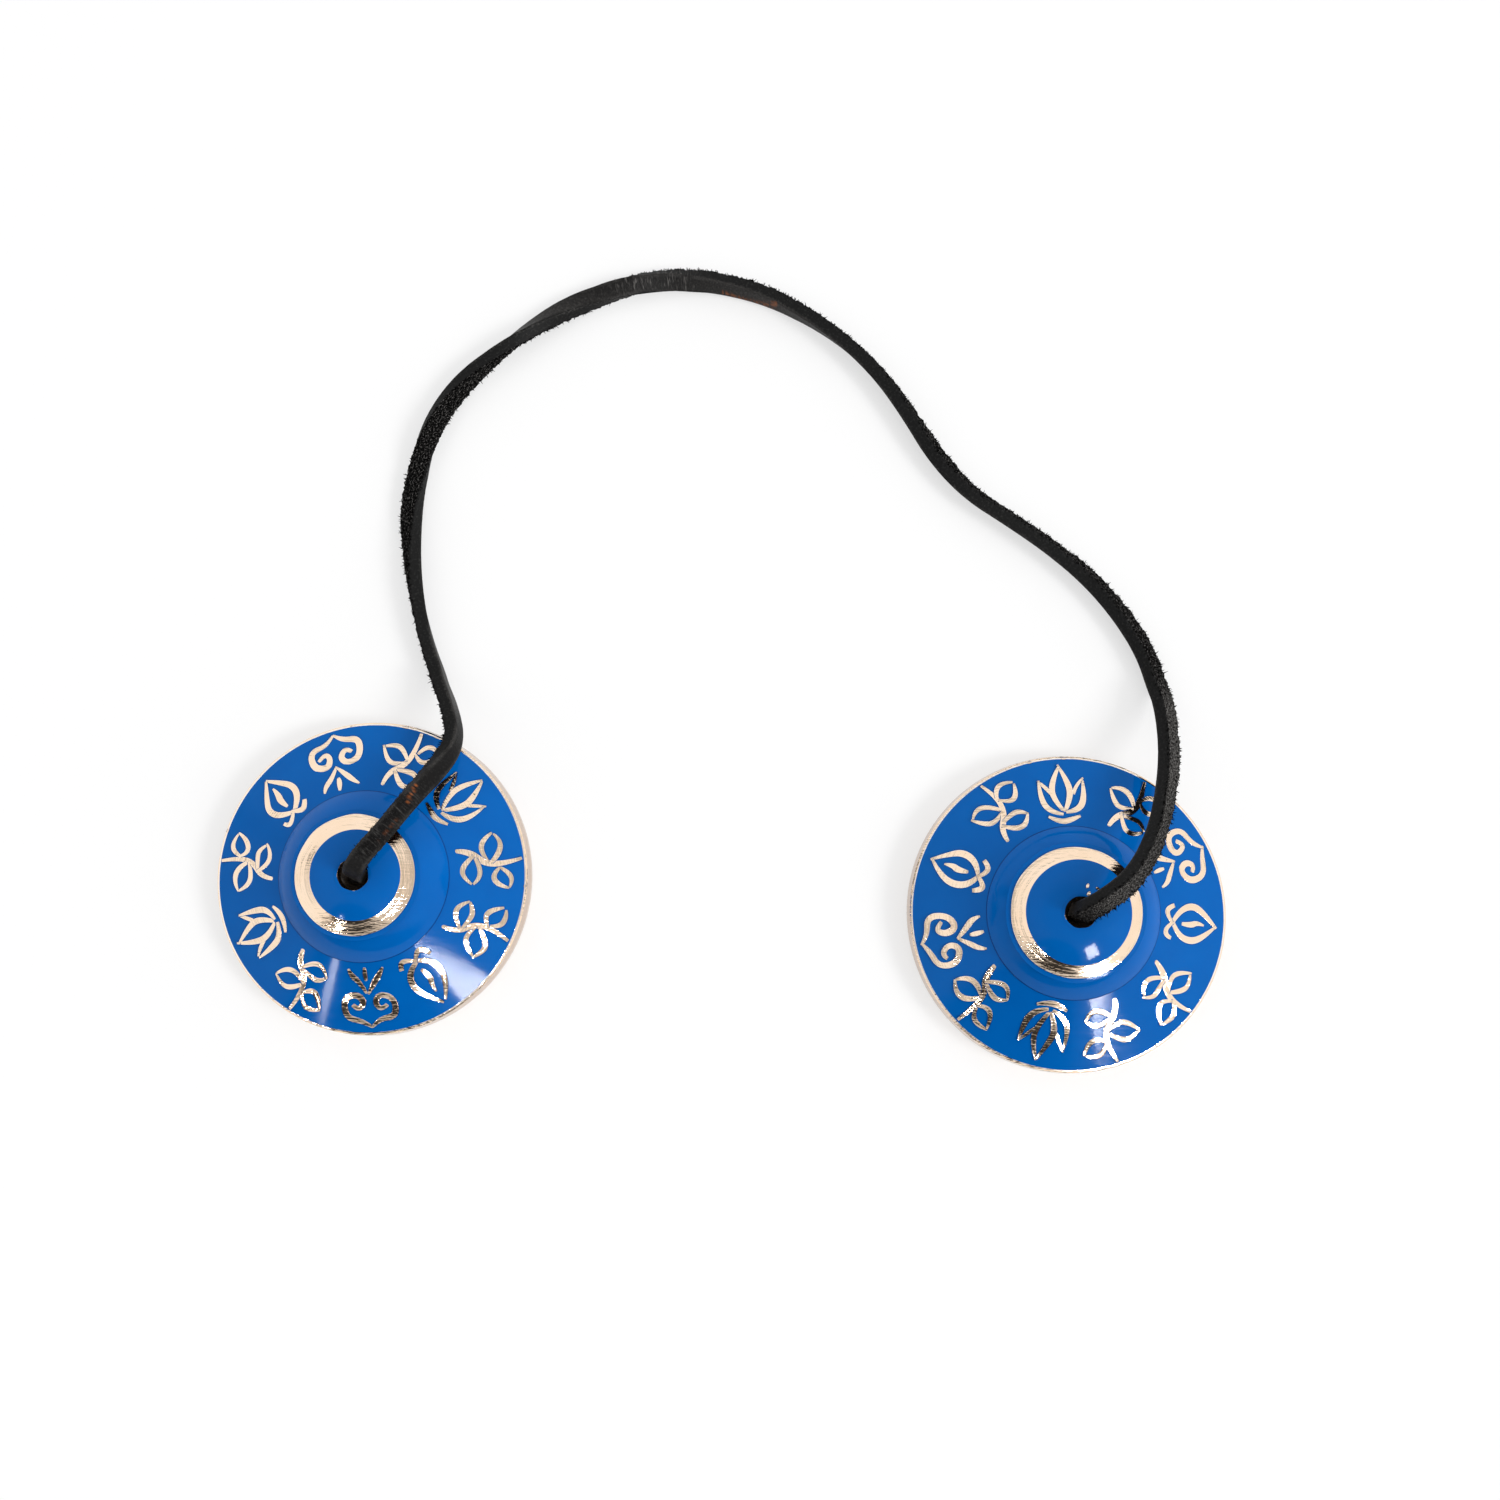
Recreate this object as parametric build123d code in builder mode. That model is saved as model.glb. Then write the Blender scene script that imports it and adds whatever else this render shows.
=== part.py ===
from build123d import *
import os
from math import pi, radians, sqrt, tan

# A pair of tingsha lying on a table: two thick bronze cymbals with blue lacquer, joined by a leather thong
# that goes down through each boss and is knotted inside it. Millimetres, the table at z = 0.

# Cymbal sizes, the same on both
cymbal_spacing = 143.0
cymbal_diameter = 65.0
rim_height = 5.0
rim_band = 1.8
rim_taper = 0.35
rim_bevel = 0.3
lip_width = 2.6
lip_round = 0.5
boss_diameter = 34.5
boss_height = 20.5
boss_wall = 2.8
boss_mouth_inset = 2.05
step_height = 11.6
step_rise = 0.25
hole_diameter = 6.0
hole_round = 0.35

# Lacquer, which fills shallow recesses and lies level with the bare bronze beside it
lacquer_thickness = 0.15
hole_bare_edge = 0.55
ring_inner_diameter = {"left": 18.1, "right": 20.8}
ring_outer_diameter = {"left": 24.1, "right": 26.4}

# Thong and its knots
thong_width = 4.0
thong_thickness = 2.75
knot_diameter = 10.0
knot_height = 8.0
knot_shoulder = 0.4
tail_reach = 10.5
tail_drop = 5.6
tail_heading = {"left": 215.0, "right": 20.0}

# The thong's route, points chosen along its middle line. The first list starts above the left hole and is
# given from the left cymbal's axis, the last ends above the right hole and is given from the right one's.
left_rise = [
    (0.0, 0.0, 22.7),
    (2.5, 3.7, 26.3),
    (6.4, 8.9, 24.4),
    (10.2, 16.0, 19.4),
    (13.8, 22.2, 15.2),
    (16.6, 28.4, 11.8),
    (14.4, 35.2, 7.8),
    (10.4, 42.4, 4.0),
]
left_lay = [
    (-64.6, 50.4, 2.0),
    (-67.5, 60.6, 2.0),
    (-69.4, 70.8, 2.0),
    (-70.0, 80.6, 2.0),
    (-68.8, 90.5, 2.0),
    (-65.3, 99.8, 2.0),
    (-58.6, 109.2, 2.0),
    (-49.4, 117.2, 2.0),
    (-38.6, 124.8, 2.0),
    (-28.4, 129.8, 2.0),
    (-17.8, 132.0, 2.0),
]
right_lay = [
    (-7.4, 131.8, 2.0),
    (2.9, 129.6, 2.0),
    (12.4, 125.3, 2.0),
    (21.3, 119.4, 2.0),
    (28.9, 112.1, 2.0),
    (34.9, 103.5, 2.0),
    (40.7, 94.6, 2.0),
    (48.4, 87.4, 2.0),
    (57.2, 82.3, 2.0),
    (65.9, 76.7, 2.0),
    (74.0, 70.6, 2.0),
    (80.8, 63.3, 2.0),
    (86.3, 54.6, 2.0),
]
right_rise = [
    (17.7, 44.9, 4.6),
    (18.7, 34.7, 8.6),
    (17.5, 25.0, 13.2),
    (14.1, 15.4, 19.2),
    (8.9, 7.6, 24.4),
    (3.5, 3.0, 26.3),
    (0.0, 0.0, 22.7),
]
bend_share = 0.45

# Sizes that follow from those above
side_x = {"left": -cymbal_spacing / 2, "right": cymbal_spacing / 2}
rim_radius = cymbal_diameter / 2
rim_top_radius = rim_radius - rim_taper
flange_radius = rim_top_radius - rim_bevel
boss_radius = boss_diameter / 2
mouth_radius = boss_radius - boss_mouth_inset
hole_radius = hole_diameter / 2
boss_foot = step_height + step_rise
dome_centre = (boss_height**2 + hole_radius**2 - boss_foot**2 - boss_radius**2) / (
    2 * (boss_height - boss_foot)
)
dome_radius = sqrt(boss_radius**2 + (boss_foot - dome_centre) ** 2)
dome_inner_radius = dome_radius - boss_wall
lacquer_bed_radius = dome_radius - lacquer_thickness
flange_slope = (step_height - rim_height) / (flange_radius - boss_radius)
lacquer_rise = lacquer_thickness * sqrt(1 + flange_slope**2)
thong_diameter = 2 * sqrt(thong_width * thong_thickness / pi)


def dome_point(sphere_radius, r):
    """Point of the boss's section at radius r, on a sphere about the boss's centre."""
    return (r, dome_centre + sqrt(sphere_radius**2 - r**2))


def dome_arc(sphere_radius, r_from, r_to):
    """Arc of the boss's section between two radii."""
    r_middle = (r_from + r_to) / 2
    ThreePointArc(
        dome_point(sphere_radius, r_from),
        dome_point(sphere_radius, r_middle),
        dome_point(sphere_radius, r_to),
    )


def flange_point(r, depth=0.0):
    """Point of the flange's section at radius r, the given height below its surface."""
    return (r, step_height - (r - boss_radius) * flange_slope - depth)


def axis_plane(side):
    """Upright plane through one cymbal's axis, its x to the right and its y up."""
    return Plane(origin=(side_x[side], 0, 0), x_dir=(1, 0, 0), z_dir=(0, -1, 0))


def hole_axis(side):
    """Upright axis of one cymbal's hole."""
    return Axis((side_x[side], 0, 0), (0, 0, 1))


def cap_outline(side):
    """Section of the lacquer between the hole and the bare ring."""
    r_in = hole_radius + hole_bare_edge
    r_out = ring_inner_diameter[side] / 2
    dome_arc(dome_radius, r_in, r_out)
    Line(dome_point(dome_radius, r_out), dome_point(lacquer_bed_radius, r_out))
    dome_arc(lacquer_bed_radius, r_out, r_in)
    Line(dome_point(lacquer_bed_radius, r_in), dome_point(dome_radius, r_in))


def field_outline(side):
    """Section of the lacquer from the bare ring over the step and the flange to the rim's bevel."""
    r_in = ring_outer_diameter[side] / 2
    r_bed = boss_radius - lacquer_thickness
    dome_arc(dome_radius, r_in, boss_radius)
    Polyline(
        dome_point(dome_radius, boss_radius),
        flange_point(boss_radius),
        flange_point(flange_radius),
        flange_point(flange_radius, lacquer_rise),
        flange_point(r_bed, lacquer_rise),
        dome_point(lacquer_bed_radius, r_bed),
    )
    dome_arc(lacquer_bed_radius, r_bed, r_in)
    Line(dome_point(lacquer_bed_radius, r_in), dome_point(dome_radius, r_in))


def casting_outline():
    """Section of the bare bronze casting: boss, step, flange, bevel, rim, lip and hollow underside."""
    dome_arc(dome_radius, hole_radius, boss_radius)
    Polyline(
        dome_point(dome_radius, boss_radius),
        flange_point(boss_radius),
        flange_point(flange_radius),
        (rim_top_radius, rim_height - rim_bevel),
        (rim_radius, rim_band),
        (rim_radius, 0),
        (rim_radius - lip_width, 0),
        dome_point(dome_inner_radius, mouth_radius),
    )
    dome_arc(dome_inner_radius, mouth_radius, hole_radius)
    Line(dome_point(dome_inner_radius, hole_radius), dome_point(dome_radius, hole_radius))


def make_cymbal(side):
    """Bronze casting of one cymbal, with the recesses that its lacquer fills."""
    with BuildPart() as casting:
        with BuildSketch(axis_plane(side)) as section:
            with BuildLine():
                casting_outline()
            make_face()
            fillet(section.vertices().group_by(Axis.Y)[0], radius=lip_round)
            fillet(section.vertices().group_by(Axis.X)[0], radius=hole_round)
            with BuildLine():
                cap_outline(side)
            make_face(mode=Mode.SUBTRACT)
            with BuildLine():
                field_outline(side)
            make_face(mode=Mode.SUBTRACT)
        revolve(axis=hole_axis(side))
    return casting


def make_lacquer(side, outline):
    """One field of lacquer, a thin shell turned about the cymbal's axis."""
    with BuildPart() as coat:
        with BuildSketch(axis_plane(side)):
            with BuildLine():
                outline(side)
            make_face()
        revolve(axis=hole_axis(side))
    return coat


def knot_top():
    """Height of the knot's flat top, level with the lower end of the hole."""
    return dome_point(dome_inner_radius, hole_radius)[1]


def make_knot(side):
    """Knot that holds the thong inside one boss: a drawn-up lump and the short tail beside it."""
    shoulder = thong_diameter / 2 + knot_shoulder
    top = knot_top()
    middle = top - knot_height / 2
    bottom = top - knot_height
    tail_start = Vector(side_x[side], 0, top - tail_drop)
    tail_direction = Vector(1, 0, 0).rotate(Axis.Z, tail_heading[side])
    with BuildPart() as knot:
        with BuildSketch(axis_plane(side)):
            with BuildLine():
                Polyline((shoulder, bottom), (0, bottom), (0, top), (shoulder, top))
                ThreePointArc((shoulder, top), (knot_diameter / 2, middle), (shoulder, bottom))
            make_face()
        revolve(axis=hole_axis(side))
        with BuildSketch(Plane(origin=tail_start, z_dir=tail_direction)):
            Circle(thong_diameter / 2)
        extrude(amount=tail_reach)
    return knot


def bend_radii(points):
    """Radius of each bend of a route: a share of its shorter run, as large as the turn leaves room for."""
    radii = []
    for before, corner, after in zip(points, points[1:], points[2:]):
        run_in = corner - before
        run_out = after - corner
        shorter = min(run_in.length, run_out.length)
        radii.append(bend_share * shorter / tan(radians(run_in.get_angle(run_out) / 2)))
    return radii


def make_thong(points):
    """Round tube of the thong's own section area along one half of its route."""
    radii = bend_radii(points)
    with BuildPart() as thong:
        with BuildLine() as route:
            FilletPolyline(*points, radius=radii)
        with BuildSketch(Plane(origin=route.line @ 0, z_dir=route.line % 0)):
            Circle(thong_diameter / 2)
        sweep()
    length = route.wire().length
    expected = pi * thong_diameter**2 / 4 * length
    print("bend radii", [round(radius, 1) for radius in radii])
    print(f"length {length:.1f}, volume {thong.part.volume:.1f} against {expected:.1f}")
    return thong


def thong_routes():
    """The left and the right half of the thong's route, which meet at its crown."""
    left_axis = Vector(side_x["left"], 0, 0)
    right_axis = Vector(side_x["right"], 0, 0)
    seat = Vector(0, 0, knot_top())
    crown = (Vector(*left_lay[-1]) + Vector(*right_lay[0])) / 2
    left = [left_axis + seat]
    left += [left_axis + Vector(*point) for point in left_rise]
    left += [Vector(*point) for point in left_lay]
    left.append(crown)
    right = [crown]
    right += [Vector(*point) for point in right_lay]
    right += [right_axis + Vector(*point) for point in right_rise]
    right.append(right_axis + seat)
    return {"left": left, "right": right}


os.makedirs("parts", exist_ok=True)
routes = thong_routes()
print("crown", routes["right"][0])
print("boss sphere", round(dome_radius, 3), "centre height", round(dome_centre, 3), "knot top", knot_top())

for side in ("left", "right"):
    pieces = {
        f"{side}_cymbal": make_cymbal(side),
        f"{side}_boss_lacquer": make_lacquer(side, cap_outline),
        f"{side}_flange_lacquer": make_lacquer(side, field_outline),
        f"{side}_knot": make_knot(side),
        f"{side}_thong": make_thong(routes[side]),
    }
    for name, piece in pieces.items():
        piece.part.label = name
        export_step(piece.part, f"parts/{name}.step")
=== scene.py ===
import logging
import math
import random
from dataclasses import dataclass
from enum import Enum
from functools import cached_property

import bmesh
import bpy
from mathutils import Matrix, Vector, noise
from mathutils.bvhtree import BVHTree


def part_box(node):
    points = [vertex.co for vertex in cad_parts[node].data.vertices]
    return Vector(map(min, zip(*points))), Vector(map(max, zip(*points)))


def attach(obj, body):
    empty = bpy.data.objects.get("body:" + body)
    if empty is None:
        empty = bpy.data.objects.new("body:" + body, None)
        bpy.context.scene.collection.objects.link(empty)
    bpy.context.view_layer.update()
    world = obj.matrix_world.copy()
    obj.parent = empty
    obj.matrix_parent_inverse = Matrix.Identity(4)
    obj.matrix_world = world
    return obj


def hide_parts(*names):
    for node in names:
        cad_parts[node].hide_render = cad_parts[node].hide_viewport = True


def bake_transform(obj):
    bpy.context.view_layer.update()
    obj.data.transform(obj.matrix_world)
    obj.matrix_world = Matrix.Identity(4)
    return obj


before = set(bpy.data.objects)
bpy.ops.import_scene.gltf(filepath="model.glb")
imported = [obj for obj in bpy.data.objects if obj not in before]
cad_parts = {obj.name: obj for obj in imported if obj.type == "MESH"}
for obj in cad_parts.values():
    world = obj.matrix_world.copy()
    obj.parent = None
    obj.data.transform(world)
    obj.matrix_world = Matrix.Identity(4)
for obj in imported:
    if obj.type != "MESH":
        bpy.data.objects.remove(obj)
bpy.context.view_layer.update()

MM = 0.001
LOG = logging.getLogger("tingsha")
# Vertex layers that carry the strap's wear, and its painted highlights and painted light, from its mesh to
# the hide's materials.
WEAR_AND_LIGHT = ("crackle", "crease", "painted_light", "scuff")


class Side(Enum):
    """The two halves of the pair, as they lie on the table."""

    LEFT = "left"
    RIGHT = "right"


class HideFace(Enum):
    """The faces of a strap cut from a hide, in the order of the strap's material slots."""

    GRAIN = 0
    CUT = 1
    FLESH = 2


def linear(hex_colour: str) -> tuple[float, float, float, float]:
    """Turns an sRGB hex colour into linear light.

    Args:
        hex_colour: Colour such as "#0050A8".

    Returns:
        Red, green, blue and an alpha of one.
    """
    shares = [int(hex_colour[i:i + 2], 16) / 255 for i in (1, 3, 5)]
    light = [s / 12.92 if s <= 0.04045 else ((s + 0.055) / 1.055) ** 2.4 for s in shares]
    return (*light, 1.0)


def per_mm(size: float) -> float:
    """Texture scale that repeats a pattern every size millimetres."""
    return 1 / (size * MM)


def smooth(share: float) -> float:
    """Eased share between nought and one."""
    t = min(1.0, max(0.0, share))
    return t * t * (3 - 2 * t)


def add_node(tree: bpy.types.NodeTree, kind: str, inputs: dict | None = None, **settings) -> bpy.types.Node:
    """Adds one node with its settings and links.

    Args:
        tree: Node tree that takes the node.
        kind: Type name of the node, without its leading ShaderNode.
        inputs: Socket name or index, and the value or the output socket that feeds it.
        **settings: Attributes of the node.

    Returns:
        The new node.
    """
    node = tree.nodes.new(f"ShaderNode{kind}")
    for key, value in settings.items():
        setattr(node, key, value)
    for key, value in (inputs or {}).items():
        if isinstance(value, bpy.types.NodeSocket):
            tree.links.new(value, node.inputs[key])
        else:
            node.inputs[key].default_value = value
    return node


def blank_material(name: str) -> tuple[bpy.types.Material, bpy.types.NodeTree]:
    """Makes a material with an empty node tree.

    Args:
        name: Name of the material.

    Returns:
        The material and its tree.
    """
    made = bpy.data.materials.new(name)
    made.use_nodes = True
    made.node_tree.nodes.clear()
    return made, made.node_tree


def link(item: bpy.types.Object) -> None:
    """Puts an object into the scene."""
    bpy.context.scene.collection.objects.link(item)


def add_line(
    curve: bpy.types.Curve,
    places: list[Vector | tuple[float, float, float]],
    steps: int,
    closed: bool = False,
) -> bpy.types.Spline:
    """Adds a NURBS line to a curve.

    Args:
        curve: Curve that takes the line.
        places: Control points.
        steps: Points drawn for each control point.
        closed: Whether the line runs round to its start.

    Returns:
        The line.
    """
    line = curve.splines.new("NURBS")
    line.points.add(len(places) - 1)
    for point, place in zip(line.points, places):
        point.co = (*place, 1)
    line.order_u = 3
    line.use_endpoint_u = not closed
    line.use_cyclic_u = closed
    line.resolution_u = steps
    return line


def swept(curve: bpy.types.Curve, section: bpy.types.Curve | None = None) -> bmesh.types.BMesh:
    """Reads a curve's shape and clears the curve away.

    Args:
        curve: The curve; it is removed.
        section: Section to sweep along it, if any; it is removed as well.

    Returns:
        The shape.
    """
    curves = [curve, section] if section else [curve]
    holders = [bpy.data.objects.new(c.name, c) for c in curves]
    if section:
        curve.bevel_mode = "OBJECT"
        curve.bevel_object = holders[1]
    for holder in holders:
        link(holder)
    bpy.context.view_layer.update()
    seen = holders[0].evaluated_get(bpy.context.evaluated_depsgraph_get())
    mesh = bpy.data.meshes.new_from_object(seen)
    bm = bmesh.new()
    bm.from_mesh(mesh)
    for holder in holders:
        bpy.data.objects.remove(holder)
    for scrap in curves:
        bpy.data.curves.remove(scrap)
    bpy.data.meshes.remove(mesh)
    return bm


def new_piece(name: str, bm: bmesh.types.BMesh, materials: list[bpy.types.Material]) -> bpy.types.Object:
    """Puts a finished bmesh into the scene as an object at the origin.

    Args:
        name: Name of the piece.
        bm: Shape in metres, in the row frame; it is freed.
        materials: Materials in slot order.

    Returns:
        The new object.
    """
    mesh = bpy.data.meshes.new(name)
    bm.to_mesh(mesh)
    bm.free()
    for material in materials:
        mesh.materials.append(material)
    piece = bpy.data.objects.new(name, mesh)
    link(piece)
    return piece


def dress_node(name: str, material: bpy.types.Material) -> None:
    """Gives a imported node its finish.

    Args:
        name: Name of the node.
        material: Its finish.
    """
    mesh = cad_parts[name].data
    mesh.materials.clear()
    mesh.materials.append(material)
    LOG.info("%s dressed in %s", name, material.name)


@dataclass(frozen=True)
class BellMetal:
    """Bell-metal bronze, cast, turned and rubbed bright with fine grit."""

    # Tin-rich bronze is pale, so bare metal reads as cream where it mirrors white walls and as
    # brown where it mirrors the dark front. Rubbing leaves hairlines about 0.05 mm apart, too
    # fine to show, so scratches and turning marks are drawn 0.35 to 0.4 mm apart.
    name: str = "polished_bell_bronze"
    pale: str = "#FFE9D2"
    warm: str = "#F6D8B8"
    speck: str = "#5E4630"
    # Rim side beyond the turned radius: its turned finish, darkened as painted shade for the shaded table
    # beside the rim that it mirrors.
    turned: str = "#C9B3A2"
    roughness: float = 0.08
    cloud_mm: float = 5.0
    scratch_mm: float = 0.4
    scratch_length_mm: float = 3.0
    hatch_mm: float = 0.35
    hatch_length_mm: float = 3.0
    relief_mm: float = 0.065
    axis_mm: float = 71.5
    turned_from_mm: float = 32.14
    speck_mm: float = 1.6
    pit_from: float = 0.72
    pit_to: float = 0.78
    scratch_turns: tuple[float, float] = (28.0, -52.0)
    sheen_from: float = 0.7
    sheen_to: float = 1.3
    smoother: float = 0.05
    rougher: float = 0.07

    def material(self) -> bpy.types.Material:
        """Builds the metal: a pale warm mirror, clouded and crossed by rubbing scratches."""
        made, tree = blank_material(self.name)
        place = add_node(tree, "TexCoord").outputs["Object"]
        cloud = add_node(tree, "TexNoise", {"Vector": place, "Scale": per_mm(self.cloud_mm), "Detail": 4.0})
        tone = add_node(
            tree,
            "Mix",
            {"Factor": cloud.outputs["Fac"], 6: linear(self.pale), 7: linear(self.warm)},
            data_type="RGBA",
        )
        pits = add_node(tree, "TexNoise", {"Vector": place, "Scale": per_mm(self.speck_mm), "Detail": 3.0})
        pit_mask = add_node(
            tree,
            "MapRange",
            {"Value": pits.outputs["Fac"], "From Min": self.pit_from, "From Max": self.pit_to},
        )
        skin = add_node(
            tree,
            "Mix",
            {"Factor": pit_mask.outputs["Result"], 6: tone.outputs[2], 7: linear(self.speck)},
            data_type="RGBA",
        )
        apart = add_node(tree, "VectorMath", {0: place}, operation="ABSOLUTE")
        centred = add_node(
            tree, "VectorMath", {0: apart.outputs[0], 1: (self.axis_mm * MM, 0.0, 0.0)}, operation="SUBTRACT"
        )
        flat = add_node(tree, "VectorMath", {0: centred.outputs[0], 1: (1.0, 1.0, 0.0)}, operation="MULTIPLY")
        radius = add_node(tree, "VectorMath", {0: flat.outputs[0]}, operation="LENGTH")
        # The rim side takes the turned colour: its turned finish, with painted shade.
        side = add_node(
            tree, "Math", {0: radius.outputs["Value"], 1: self.turned_from_mm * MM}, operation="GREATER_THAN"
        )
        skin = add_node(
            tree,
            "Mix",
            {"Factor": side.outputs[0], 6: skin.outputs[2], 7: linear(self.turned)},
            data_type="RGBA",
        )
        marks, long = [], per_mm(self.scratch_length_mm)
        for turn in self.scratch_turns:
            lie = add_node(
                tree,
                "Mapping",
                {
                    "Vector": place,
                    "Rotation": (0.0, 0.0, math.radians(turn)),
                    "Scale": (long, per_mm(self.scratch_mm), long),
                },
            )
            streak = add_node(tree, "TexNoise", {"Vector": lie.outputs[0], "Scale": 1.0, "Detail": 2.0})
            marks.append(streak.outputs["Fac"])
        scratched = add_node(tree, "Math", {0: marks[0], 1: marks[1]}, operation="ADD")
        lathe = add_node(
            tree, "Math", {0: radius.outputs["Value"], 1: per_mm(self.hatch_mm)}, operation="MULTIPLY"
        )
        outward = add_node(tree, "CombineXYZ", {"X": lathe.outputs[0]})
        drift = per_mm(self.hatch_length_mm)
        along = add_node(
            tree,
            "VectorMath",
            {0: place, 1: (drift, drift, drift), 2: outward.outputs[0]},
            operation="MULTIPLY_ADD",
        )
        hatch = add_node(tree, "TexNoise", {"Vector": along.outputs[0], "Scale": 1.0, "Detail": 2.0})
        worked = add_node(tree, "Math", {0: scratched.outputs[0], 1: hatch.outputs["Fac"]}, operation="ADD")
        bump = add_node(
            tree, "Bump", {"Height": worked.outputs[0], "Strength": 1.0, "Distance": self.relief_mm * MM}
        )
        sheen = add_node(
            tree,
            "MapRange",
            {
                "Value": scratched.outputs[0],
                "From Min": self.sheen_from,
                "From Max": self.sheen_to,
                "To Min": self.roughness - self.smoother,
                "To Max": self.roughness + self.rougher,
            },
        )
        shader = add_node(
            tree,
            "BsdfPrincipled",
            {
                "Base Color": skin.outputs[2],
                "Metallic": 1.0,
                "Roughness": sheen.outputs["Result"],
                "Normal": bump.outputs["Normal"],
            },
        )
        add_node(tree, "OutputMaterial", {"Surface": shader.outputs[0]})
        return made


@dataclass(frozen=True)
class BlueLacquer:
    """Blue lacquer, brushed on by hand and rubbed to a gloss."""

    # A thin coat over bright metal: a strong even blue with lamps mirrored softly in it. The
    # index is below a lacquer's usual 1.5, because the coat shows only a faint veil of white.
    # Rubbing marks of a few hundredths of a millimetre are drawn 0.25 mm apart to show.
    name: str = "rubbed_blue_lacquer"
    deep: str = "#0059AA"
    light: str = "#0063B6"
    index: float = 1.19
    roughness: float = 0.075
    cloud_mm: float = 7.0
    wave_mm: float = 2.2
    scratch_mm: float = 0.25
    scratch_length_mm: float = 5.0
    scratch_turn: float = 35.0
    wave_strength: float = 0.25
    wave_relief_mm: float = 0.01
    scratch_strength: float = 0.2
    scratch_relief_mm: float = 0.008
    sheen_from: float = 0.3
    sheen_to: float = 0.7
    smoother: float = 0.03
    rougher: float = 0.05

    def material(self) -> bpy.types.Material:
        """Builds the lacquer: deep even blue under a gloss that fine rubbing has softened."""
        made, tree = blank_material(self.name)
        place = add_node(tree, "TexCoord").outputs["Object"]
        cloud = add_node(tree, "TexNoise", {"Vector": place, "Scale": per_mm(self.cloud_mm), "Detail": 5.0})
        tone = add_node(
            tree,
            "Mix",
            {"Factor": cloud.outputs["Fac"], 6: linear(self.deep), 7: linear(self.light)},
            data_type="RGBA",
        )
        wave = add_node(tree, "TexNoise", {"Vector": place, "Scale": per_mm(self.wave_mm), "Detail": 1.0})
        long = per_mm(self.scratch_length_mm)
        lie = add_node(
            tree,
            "Mapping",
            {
                "Vector": place,
                "Rotation": (0.0, 0.0, math.radians(self.scratch_turn)),
                "Scale": (long, per_mm(self.scratch_mm), long),
            },
        )
        rubbed = add_node(tree, "TexNoise", {"Vector": lie.outputs[0], "Scale": 1.0, "Detail": 3.0})
        ripple = add_node(
            tree,
            "Bump",
            {
                "Height": wave.outputs["Fac"],
                "Strength": self.wave_strength,
                "Distance": self.wave_relief_mm * MM,
            },
        )
        bump = add_node(
            tree,
            "Bump",
            {
                "Height": rubbed.outputs["Fac"],
                "Strength": self.scratch_strength,
                "Distance": self.scratch_relief_mm * MM,
                "Normal": ripple.outputs["Normal"],
            },
        )
        sheen = add_node(
            tree,
            "MapRange",
            {
                "Value": rubbed.outputs["Fac"],
                "From Min": self.sheen_from,
                "From Max": self.sheen_to,
                "To Min": self.roughness - self.smoother,
                "To Max": self.roughness + self.rougher,
            },
        )
        shader = add_node(
            tree,
            "BsdfPrincipled",
            {
                "Base Color": tone.outputs[2],
                "Roughness": sheen.outputs["Result"],
                "IOR": self.index,
                "Normal": bump.outputs["Normal"],
            },
        )
        add_node(tree, "OutputMaterial", {"Surface": shader.outputs[0]})
        return made


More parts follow.
